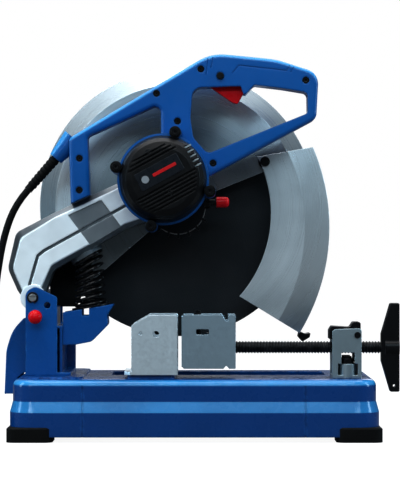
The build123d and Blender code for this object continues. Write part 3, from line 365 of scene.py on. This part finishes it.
def abrasive(name):
    """Resin bonded grit with the weave of its glass net."""
    look = Look(name, (0.013, 0.017, 0.021), 0.5, Specular_IOR_Level=0.2)
    grit = look.noise(2600.0, 2.0)
    look.tint(look.ranged(grit, 0.58, 0.7, 0.0, 0.75), (0.045, 0.052, 0.058))
    look.tint(look.ranged(look.noise(16.0), 0.45, 0.75, 0.0, 0.5), (0.03, 0.032, 0.036))
    look.roughen(grit, 0.42, 0.62)
    weave = None
    for angle in (0.4, 0.4 + math.pi / 2):
        mapping = look.add("ShaderNodeMapping", Rotation=(0, angle, 0))
        look.link(look.coords, mapping.inputs["Vector"])
        wave = look.add("ShaderNodeTexWave", Scale=95.0)
        look.link(mapping.outputs["Vector"], wave.inputs["Vector"])
        weave = wave.outputs["Fac"] if weave is None else look.maths("ADD", weave, wave.outputs["Fac"])
    look.bump(weave, 0.12)
    look.bump(grit, 0.35)
    return look.material


def arm_silver():
    """Lacquered casting: its near face bright, with painted shade on all that lies behind that face,
    its recesses included.
    """
    look = Look("silver_lacquer", (0.86, 0.92, 0.95), 0.36, Coat_Weight=0.25, Coat_Roughness=0.15,
                Metallic=0.35)
    edge = look.soft_edges(0.0022)
    # Painted shade: nearly black on all that lies more than about 2 mm behind the near face.
    depth = look.ranged(look.coordinate("Y"), ARM_NEAR_Y + 0.0005, ARM_NEAR_Y + 0.0022, 0.0, 0.94)
    look.tint(depth, (0.030, 0.046, 0.060))
    look.tint(look.ranged(look.noise(16.0), 0.4, 0.75, 0.0, 0.3), (0.42, 0.46, 0.50))
    edge_patches = look.maths("MULTIPLY", edge, look.ranged(look.noise(90.0), 0.4, 0.6, 0.0, 0.5))
    look.tint(edge_patches, (0.82, 0.86, 0.88))
    look.roughen(look.noise(70.0), 0.30, 0.45)
    look.bump(look.noise(520.0, 2.0), 0.14)
    return look.material


def lock_red():
    """Red plastic for the spindle lock's button, and blackened steel for its stem."""
    look = Look("lock_red", RED, 0.28, Specular_IOR_Level=0.25)
    look.soft_edges(0.0015)
    look.tint(look.ranged(look.noise(22.0), 0.4, 0.7, 0.0, 0.3), (0.45, 0.002, 0.008))
    stem = look.ranged(look.coordinate("X"), LOCK_BUTTON_X + SHARP, LOCK_BUTTON_X - SHARP, 0.0, 1.0)
    look.tint(stem, NEAR_BLACK)
    look.roughen(look.noise(120.0), 0.24, 0.33)
    look.bump(look.noise(1400.0, 2.0), 0.08)
    return look.material


def brushed_guard(name, color, painted_shade_amount, sheen=0.0):
    """Zinc plated sheet, brushed round the disc's axis, tarnished in blotches, with painted shade
    toward the hub and on the rim, and painted highlights on its edges.
    """
    look = Look(name, color, 0.30, Metallic=1.0, Anisotropic=sheen)
    if sheen:
        tangent = look.add("ShaderNodeTangent")
        tangent.direction_type, tangent.axis = "RADIAL", "Y"
        look.link(tangent.outputs[0], look.shader.inputs["Tangent"])
    edge = look.soft_edges(0.0010)
    marks = look.rings(DISC_AXIS, 1500.0)
    look.tint(look.ranged(marks, 0.3, 0.7, 0.0, 0.28), (0.27, 0.30, 0.33))
    look.tint(look.ranged(look.noise(7.0), 0.42, 0.7, 0.0, 0.55), (0.24, 0.29, 0.32))
    # Painted shade: darker toward the hub.
    hub_shade = look.ranged(look.radius(DISC_AXIS), GUARD_R, GUARD_R - 0.060, 0.0, 0.72)
    look.tint(look.maths("MULTIPLY", hub_shade, painted_shade_amount), (0.07, 0.095, 0.11))
    # Painted shade: darker where the side bends into the rim.
    rim = look.ranged(look.radius(DISC_AXIS), GUARD_R + 0.0005, GUARD_R + 0.0020, 0.0, 0.6)
    look.tint(look.maths("MULTIPLY", rim, painted_shade_amount), (0.20, 0.24, 0.27))
    # Painted highlight: every edge lighter.
    look.tint(look.maths("MULTIPLY", edge, 0.85), (0.88, 0.92, 0.94))
    look.roughen(marks, 0.27, 0.46)
    look.bump(marks, 0.14, 0.0001)
    return look.material


def slot_materials():
    """One material for each slot of the record."""
    wide, tall = (14.0, 900.0, 900.0), (900.0, 900.0, 14.0)
    return {
        "blue_paint": paint("blue_powder_coat", BLUE, 0.27, EDGE_HIGHLIGHT_BLUE, 0.6, 0.0036, UPPER_HIGHLIGHT_BLUE),
        "grey_paint": metal("zinc_plate", (0.30, 0.36, 0.40), 0.40, wide, 0.15),
        "silver_paint": arm_silver(),
        "blue_plastic": plastic("blue_nylon", HANDLE_BLUE, 0.36, edge=0.0035, coat=0.4,
                                upper_highlight=UPPER_HIGHLIGHT_BLUE),
        "black_plastic": plastic("black_nylon", (0.004, 0.0045, 0.0055), 0.34, edge=0.0018),
        "red_plastic": plastic("red_plastic", RED, 0.28, depth=0.08, edge=0.0015),
        "rubber": rubber("black_rubber"),
        "guard_steel": brushed_guard("brushed_guard", (0.60, 0.67, 0.71), 1.0, 0.75),
        "steel": metal("machined_steel", (0.46, 0.48, 0.49), 0.3, wide),
        "spring_steel": paint("oiled_spring", (0.008, 0.008, 0.009), 0.24, (0.2, 0.2, 0.21)),
        "black_steel": paint("black_oxide", (0.005, 0.0055, 0.007), 0.32, (0.12, 0.12, 0.13), 0.08),
        "black_casting": paint("black_casting", (0.005, 0.006, 0.007), 0.4, (0.07, 0.07, 0.075),
                               0.06),
        "bronze": metal("sintered_bronze", (0.55, 0.36, 0.15), 0.42, wide),
        "copper": metal("copper", (0.75, 0.36, 0.2), 0.3, tall),
        "carbon": rubber("carbon", (0.02, 0.02, 0.022), 0.5),
        "abrasive": abrasive("abrasive"),
        "fan_plastic": plastic("fan_plastic", (0.02, 0.02, 0.022), 0.45),
    }


def bracket_paint(name):
    return paint(name, BRACKET_BLUE, 0.27, BRACKET_EDGE_HIGHLIGHT_BLUE, 0.6, 0.0025, UPPER_HIGHLIGHT_BLUE)


def dress_nodes(looks):
    """Gives each node its slot's material, and some nodes a finish of their own."""
    own = {
        "spindle_lock": lock_red(),
        "hinge_bracket": bracket_paint("bracket_blue"),
        "spark_guard": bracket_paint("sheet_blue"),
        "spring_seat": bracket_paint("seat_blue"),
        "front_guard": brushed_guard("front_sheet", (0.86, 0.92, 0.95), 0.2),
        "fence": sheet("fence_zinc", (0.66, 0.73, 0.77), 0.42, FENCE_HOLES),
        "vice_jaw": sheet("jaw_zinc", (0.36, 0.45, 0.51), 0.40),
        "vice_bracket": sheet("bracket_zinc", (0.36, 0.44, 0.48), 0.38),
    }
    for row in frame["record"]["subparts"]:
        mesh = frame["nodes"][row["node"]].data
        mesh.materials.clear()
        mesh.materials.append(own.get(row["node"]) or looks[row["material_slot"]])


# ---------------------------------------------------------------- cord and spring


ROUTE = [
    (-0.2218, -0.060, 0.3302),
    (-0.2383, -0.060, 0.3114),
    (-0.2535, -0.060, 0.2700),
    (-0.2620, -0.060, 0.2220),
    (-0.2680, -0.061, 0.1680),
    (-0.2770, -0.063, 0.1120),
    (-0.2910, -0.066, 0.0620),
    (-0.3120, -0.071, 0.0300),
    (-0.3400, -0.074, 0.0155),
]
TAIL = [
    (-0.4065, 0.0210, 0.0049),
    (-0.3995, 0.0340, 0.0060),
    (-0.3925, 0.0465, 0.0120),
    (-0.3860, 0.0575, 0.0176),
    (-0.3800, 0.0680, 0.0192),
]
COIL = (-0.352, -0.012)
COIL_START, COIL_TURNED = -79.0, 1931.0  # degrees
COIL_DOWN = (911.0, 971.0)  # the degrees over which it passes from the upper layer to the lower
COIL_HIGH, COIL_DROP = 0.0146, 0.0097  # Z of the upper layer, and how far below it the lower one is
COIL_R, COIL_PITCH = 0.0635, 0.0099


def coil_turns():
    """Inward on the upper layer, down at the inside, and outward on the lower one."""
    down_from, down_to = COIL_DOWN
    middle = (down_from + down_to) / 2
    step = 360.0 / 14
    points = []
    turned = step
    while turned < COIL_TURNED - step / 2:
        r = COIL_R - COIL_PITCH * (middle - abs(middle - turned)) / 360
        t = min(1.0, max(0.0, (turned - down_from) / (down_to - down_from)))
        z = COIL_HIGH - COIL_DROP * t * t * (3 - 2 * t)
        a = math.radians(COIL_START - turned)
        points.append((COIL[0] + r * math.cos(a), COIL[1] + r * math.sin(a), z))
        turned += step
    return points


def nurbs_curve(name, points, radius=0.0, sides=3, steps=4):
    curve = bpy.data.curves.new(name, "CURVE")
    curve.dimensions = "3D"
    curve.bevel_depth = radius
    curve.bevel_resolution = sides
    curve.use_fill_caps = radius > 0
    curve.resolution_u = steps
    spline = curve.splines.new("NURBS")
    spline.points.add(len(points) - 1)
    for point, place in zip(spline.points, points):
        point.co = (*place, 1)
    spline.order_u = 3
    spline.use_endpoint_u = True
    spline.resolution_u = steps
    return curve


def mesh_of(curve):
    """The mesh that Blender makes of a curve."""
    holder = bpy.data.objects.new("holder", curve)
    scene.collection.objects.link(holder)
    graph = bpy.context.evaluated_depsgraph_get()
    mesh = bpy.data.meshes.new_from_object(holder.evaluated_get(graph))
    bpy.data.objects.remove(holder)
    return mesh


def tube(name, points, radius, look, sides=3, steps=4):
    """A smooth tube along a NURBS line, and the points of that line."""
    line = [Vector(v.co) for v in mesh_of(nurbs_curve(name + "_line", points, steps=steps)).vertices]
    mesh = mesh_of(nurbs_curve(name, points, radius, sides, steps))
    mesh.name = name
    mesh.materials.clear()
    mesh.materials.append(look)
    mesh.polygons.foreach_set("use_smooth", [True] * len(mesh.polygons))
    piece = bpy.data.objects.new(name, mesh)
    scene.collection.objects.link(piece)
    return piece, line


def make_cord(look):
    cord, line = tube("mains_cord", ROUTE + coil_turns() + TAIL, CORD_R, look)
    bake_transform(cord)
    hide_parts("power_cord", "cord_coil", "cord_tail")


SPRING_FOOT, SPRING_HEAD = (-0.1395, -0.030, 0.1784), (-0.1425, -0.030, 0.2405)
SEAT_LEAN, ARM_LEAN = math.radians(9.2), math.radians(29.7)
SPRING_R, WIRE_R = 0.020, 0.0020
SPRING_TURNS = 8.5
FLAT_TURNS = 0.75  # closed turns at each end


def make_spring(look):
    """The return spring's wire, leaning at its foot with the seat and at its head with the arm."""
    foot, head = Vector(SPRING_FOOT), Vector(SPRING_HEAD)
    per_turn = 16
    points = []
    for i in range(int(SPRING_TURNS * per_turn) + 1):
        a = 2 * math.pi * i / per_turn
        t = min(1.0, max(0.0, (i / per_turn - FLAT_TURNS) / (SPRING_TURNS - 2 * FLAT_TURNS)))
        lean = Matrix.Rotation(-(SEAT_LEAN + t * (ARM_LEAN - SEAT_LEAN)), 3, "Y")
        turn = lean @ Vector((SPRING_R * math.cos(a), SPRING_R * math.sin(a), 0))
        points.append(foot.lerp(head, t) + turn)
    spring, _ = tube("return_spring_wire", points, WIRE_R, look, 3, 3)
    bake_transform(spring)
    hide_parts("return_spring")


# ---------------------------------------------------------------- trim


def plate_on_cap(name, u, v, width, height, low, high, look, corner=0.0015):
    """A small rounded plate on the motor's cap, turned with it: u along the band, v across it.

    It stands from high, in the cap, to low, the face that the operator's side sees.
    """
    mesh = bpy.data.meshes.new(name)
    outline = []
    for sx, sz in ((1, 1), (-1, 1), (-1, -1), (1, -1)):
        for step in range(5):
            a = math.atan2(sz, sx) - math.radians(45) + math.radians(22.5) * step
            outline.append((u + sx * (width / 2 - corner) + corner * math.cos(a),
                            v + sz * (height / 2 - corner) + corner * math.sin(a)))
    cos, sin = math.cos(TILT), math.sin(TILT)
    rings = []
    for y, shrink in ((high, 1.0), (low + 0.0003, 1.0), (low, 0.985)):
        for a, b in outline:
            a, b = u + (a - u) * shrink, v + (b - v) * shrink
            rings.append((MOTOR_AXIS[0] + a * cos - b * sin, y, MOTOR_AXIS[1] + a * sin + b * cos))
    n = len(outline)
    faces = [tuple(range(n))[::-1], tuple(range(2 * n, 3 * n))]
    for ring in (0, n):
        for i in range(n):
            j = (i + 1) % n
            faces.append((ring + i, ring + j, ring + n + j, ring + n + i))
    mesh.from_pydata(rings, [], faces)
    mesh.materials.append(look)
    piece = bpy.data.objects.new(name, mesh)
    scene.collection.objects.link(piece)
    bpy.context.view_layer.update()
    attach(piece, "arm")
    return piece


BAND_V = 0.0093  # how far the cap's band lies above its axis, across the band
PANEL_FACE, MARK_FACE = CAP_NEAR_Y - 0.0006, CAP_NEAR_Y - 0.0010
MARK_BACK = CAP_NEAR_Y - 0.0004
FIN_U, FIN_TOP_V, FIN_PITCH = 0.0485, 0.0213, 0.0068


def make_trim():
    """A plain panel on the cap's band, and the light fins in the cap's side vents."""
    panel = plastic("cap_panel", (0.011, 0.014, 0.019), 0.28)
    red = plastic("cap_bar", (0.48, 0.010, 0.014), 0.4)
    grey = plastic("cap_dot", (0.24, 0.26, 0.28), 0.4)
    fin = plastic("vent_fin", (0.28, 0.32, 0.34), 0.4)
    plate_on_cap("cap_panel", 0.0, BAND_V, 0.062, 0.024, PANEL_FACE, CAP_NEAR_Y + 0.0002, panel)
    plate_on_cap("cap_bar", 0.0075, BAND_V, 0.034, 0.0046, MARK_FACE, MARK_BACK, red)
    plate_on_cap("cap_dot", -0.0205, BAND_V, 0.010, 0.010, MARK_FACE, MARK_BACK, grey, 0.0049)
    for i in range(5):
        plate_on_cap(f"vent_fin_{i + 1}", FIN_U, FIN_TOP_V - FIN_PITCH * i, 0.0095, 0.0022,
                     CAP_NEAR_Y + 0.0052, CAP_NEAR_Y + 0.0068, fin, 0.0006)


# ---------------------------------------------------------------- the whole scene


make_camera()
make_stage()
LOOKS = slot_materials()
make_cord(LOOKS["rubber"])
dress_nodes(LOOKS)
make_spring(LOOKS["spring_steel"])
make_trim()
